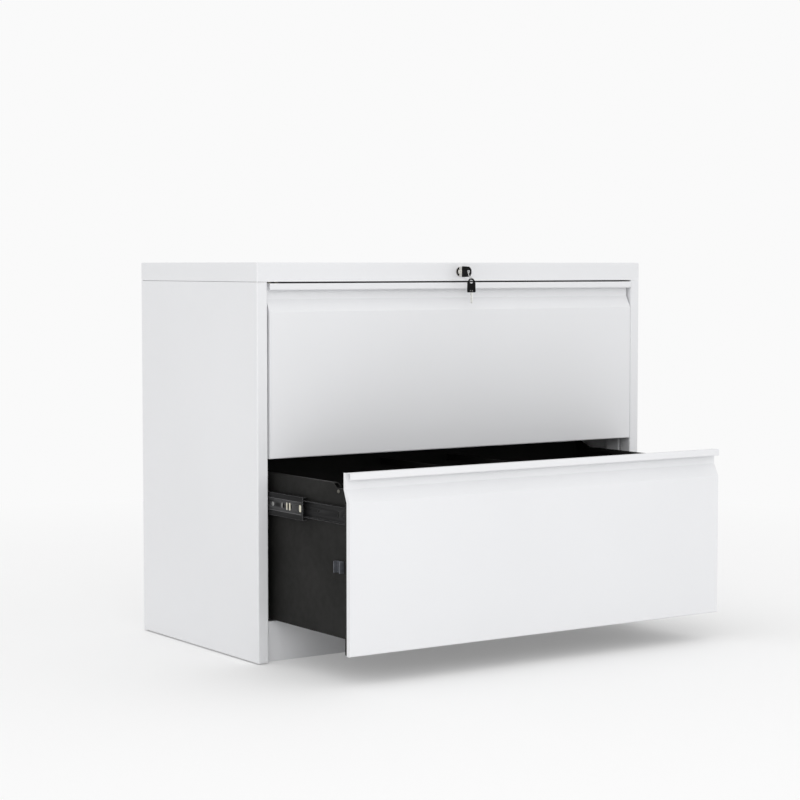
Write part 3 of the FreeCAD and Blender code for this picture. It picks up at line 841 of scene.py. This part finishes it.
def studio_world(studio):
    """Even light from all round, and a pale background for the camera and for reflections."""
    world = bpy.data.worlds.new("pale_studio")
    world.use_nodes = True
    tree = world.node_tree
    sky = tree.nodes["Background"]
    sky.inputs["Color"].default_value = (1, 1, 1, 1)
    sky.inputs["Strength"].default_value = studio.sky_strength
    backdrop = tree.nodes.new("ShaderNodeBackground")
    backdrop.inputs["Color"].default_value = (1, 1, 1, 1)
    backdrop.inputs["Strength"].default_value = studio.backdrop_tone
    rays = tree.nodes.new("ShaderNodeLightPath")
    clear = combined(tree, "MAXIMUM", rays.outputs["Is Camera Ray"], rays.outputs["Is Transmission Ray"])
    seen = combined(tree, "MAXIMUM", clear, rays.outputs["Is Glossy Ray"])
    mixed_surface(tree, seen, sky, backdrop, "World Output")
    return world


# Where each lamp stands, what it points at and how wide it is
lamp_places = {
    "key_lamp": ((-2.2, -3.4, 2.6), (0, -0.2, 0.4), 2.4),
    "top_lamp": ((0.4, -0.6, 3.2), (0, -0.1, 0.3), 2.6),
    "fill_lamp": ((-1.7, -3.3, 1.0), (0, 0, 0.3), 1.6),
}
# Width of the camera's sensor in millimetres
sensor_width = 36


def soft_lamp(name, place, aim, size, power):
    """Large square lamp that points at a spot."""
    bpy.ops.object.light_add(type="AREA", location=place)
    lamp = bpy.context.object
    lamp.name = name
    lamp.data.shape = "SQUARE"
    lamp.data.size = size
    lamp.data.energy = power
    way = Vector(aim) - Vector(place)
    lamp.rotation_euler = way.to_track_quat("-Z", "Y").to_euler()


class CABINET_OT_studio(bpy.types.Operator):
    """Set up the floor, the light and the camera"""
    bl_idname = "cabinet.studio"
    bl_label = "Studio"

    def execute(self, context):
        studio = context.scene.cabinet_studio
        scene = context.scene
        scene.view_settings.view_transform = "Standard"
        bpy.ops.object.select_all(action="DESELECT")
        bpy.ops.mesh.primitive_circle_add(
            vertices=96, radius=floor_radius, fill_type="NGON", location=(0, 0, -floor_drop))
        floor = context.object
        floor.name = "floor"
        floor.data.materials.append(floor_finish(studio))
        scene.world = studio_world(studio)
        powers = {"key_lamp": studio.key_power, "top_lamp": studio.top_power, "fill_lamp": studio.fill_power}
        for name, (place, aim, size) in lamp_places.items():
            soft_lamp(name, place, aim, size, powers[name])
        bpy.ops.object.camera_add(location=studio.camera_place)
        camera = context.object
        camera.name = "camera"
        camera.rotation_euler = (math.pi / 2 + studio.camera_pitch, 0, -studio.camera_yaw)
        camera.data.sensor_width = sensor_width
        camera.data.lens = studio.camera_lens
        scene.camera = camera
        return {"FINISHED"}


class CABINET_PT_looks(bpy.types.Panel):
    """Sidebar list of the cabinet's steps and settings"""
    bl_idname = "CABINET_PT_looks"
    bl_label = "Filing cabinet"
    bl_space_type = "VIEW_3D"
    bl_region_type = "UI"
    bl_category = "Cabinet"

    def draw(self, context):
        for step in steps:
            self.layout.operator(step.bl_idname)
        scene = context.scene
        for settings in (scene.cabinet_coats, scene.cabinet_keys, scene.cabinet_slides, scene.cabinet_studio):
            box = self.layout.box()
            for name in settings.__annotations__:
                box.prop(settings, name)


groups = (CabinetCoats, CabinetKeys, CabinetSlides, CabinetStudio)
steps = (
    CABINET_OT_carcass,
    CABINET_OT_drawer_boxes,
    CABINET_OT_slides,
    CABINET_OT_lock_works,
    CABINET_OT_lock_key,
    CABINET_OT_spare_key,
    CABINET_OT_studio,
)


def register():
    """Add the classes and the scene's settings."""
    for kind in (*groups, *steps, CABINET_PT_looks):
        bpy.utils.register_class(kind)
    bpy.types.Scene.cabinet_coats = PointerProperty(type=CabinetCoats)
    bpy.types.Scene.cabinet_keys = PointerProperty(type=CabinetKeys)
    bpy.types.Scene.cabinet_slides = PointerProperty(type=CabinetSlides)
    bpy.types.Scene.cabinet_studio = PointerProperty(type=CabinetStudio)


def unregister():
    """Remove the scene's settings and the classes."""
    del bpy.types.Scene.cabinet_studio
    del bpy.types.Scene.cabinet_slides
    del bpy.types.Scene.cabinet_keys
    del bpy.types.Scene.cabinet_coats
    for kind in (CABINET_PT_looks, *reversed(steps), *reversed(groups)):
        bpy.utils.unregister_class(kind)


def main():
    """Run every step in order."""
    register()
    bpy.ops.cabinet.carcass()
    bpy.ops.cabinet.drawer_boxes()
    bpy.ops.cabinet.slides()
    bpy.ops.cabinet.lock_works()
    bpy.ops.cabinet.lock_key()
    bpy.ops.cabinet.spare_key()
    bpy.ops.cabinet.studio()


if __name__ == "__main__":
    main()
